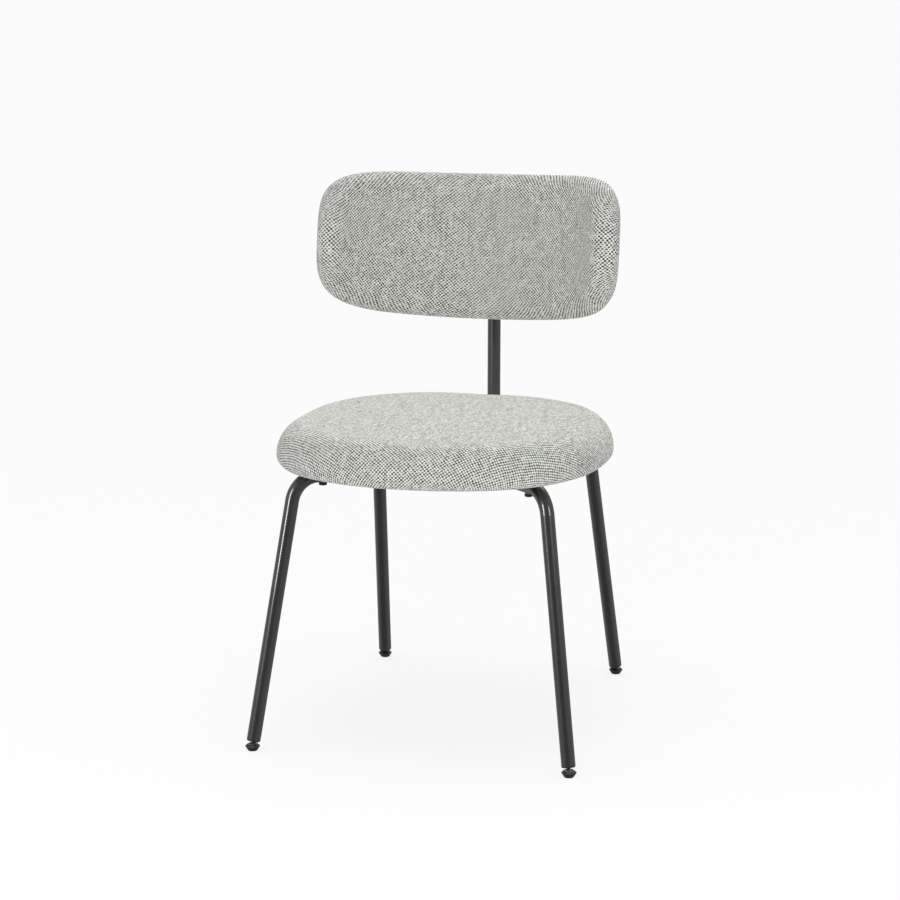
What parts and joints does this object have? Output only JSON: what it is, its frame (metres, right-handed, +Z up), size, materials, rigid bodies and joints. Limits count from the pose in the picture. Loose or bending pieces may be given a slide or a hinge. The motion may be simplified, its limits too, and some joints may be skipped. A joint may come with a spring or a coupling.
{
  "type": "dining chair",
  "caption": "Upholstered dining chair: rounded padded seat, wrap-round padded backrest on one central post, splayed round-tube legs with tilting glides.",
  "frame": {"origin": "on the floor, under the middle of the chair's overall box", "axes": "+Z up, the chair faces -Y, X = 0 is its plane of symmetry"},
  "size_m": [0.4856, 0.5898, 0.8088],
  "materials": {
    "woven_fabric": "chunky basket weave, off-white and dark grey yarns",
    "foam": "open-cell foam",
    "plywood": "birch plywood, unfinished",
    "black_cloth": "non-woven black cloth",
    "zinc_steel": "zinc plated",
    "black_steel": "black oxide, satin",
    "frame_paint": "anthracite powder coat, satin",
    "black_plastic": "moulded, satin"
  },
  "bodies": {
    "chair": {"seat_cover": "woven_fabric", "seat_foam": "foam", "seat_board": "plywood", "seat_dust_cover": "black_cloth", "seat_t_nuts": "zinc_steel", "seat_bolts": "black_steel", "seat_staples": "zinc_steel", "hub_ring": "frame_paint", "back_post": "frame_paint", "post_cap": "black_plastic", "backrest_cover": "woven_fabric", "backrest_front_foam": "foam", "backrest_rear_foam": "foam", "backrest_shell": "plywood", "backrest_bracket": "frame_paint", "backrest_screws": "black_steel", "backrest_t_nuts": "zinc_steel", "front_left_leg": "frame_paint", "front_left_glide_plug": "black_plastic", "front_right_leg": "frame_paint", "front_right_glide_plug": "black_plastic", "rear_left_leg": "frame_paint", "rear_left_glide_plug": "black_plastic", "rear_right_leg": "frame_paint", "rear_right_glide_plug": "black_plastic"},
    "front_left_glide": {"front_left_glide_foot": "black_plastic"},
    "front_right_glide": {"front_right_glide_foot": "black_plastic"},
    "rear_left_glide": {"rear_left_glide_foot": "black_plastic"},
    "rear_right_glide": {"rear_right_glide_foot": "black_plastic"}
  },
  "joints": [
    {"name": "front_left_glide_tilt", "type": "hinge", "parent": "chair", "child": "front_left_glide", "pos_m": [-0.232, -0.24788, 0.0065], "axis": [0.7518, -0.6594, 0], "range_deg": [-10, 10]},
    {"name": "front_right_glide_tilt", "type": "hinge", "parent": "chair", "child": "front_right_glide", "pos_m": [0.232, -0.24788, 0.0065], "axis": [0.7518, 0.6594, 0], "range_deg": [-10, 10]},
    {"name": "rear_left_glide_tilt", "type": "hinge", "parent": "chair", "child": "rear_left_glide", "pos_m": [-0.191, 0.28413, 0.0065], "axis": [-0.9796, -0.2009, 0], "range_deg": [-10, 10]},
    {"name": "rear_right_glide_tilt", "type": "hinge", "parent": "chair", "child": "rear_right_glide", "pos_m": [0.191, 0.28413, 0.0065], "axis": [-0.9796, 0.2009, 0], "range_deg": [-10, 10]}
  ]
}
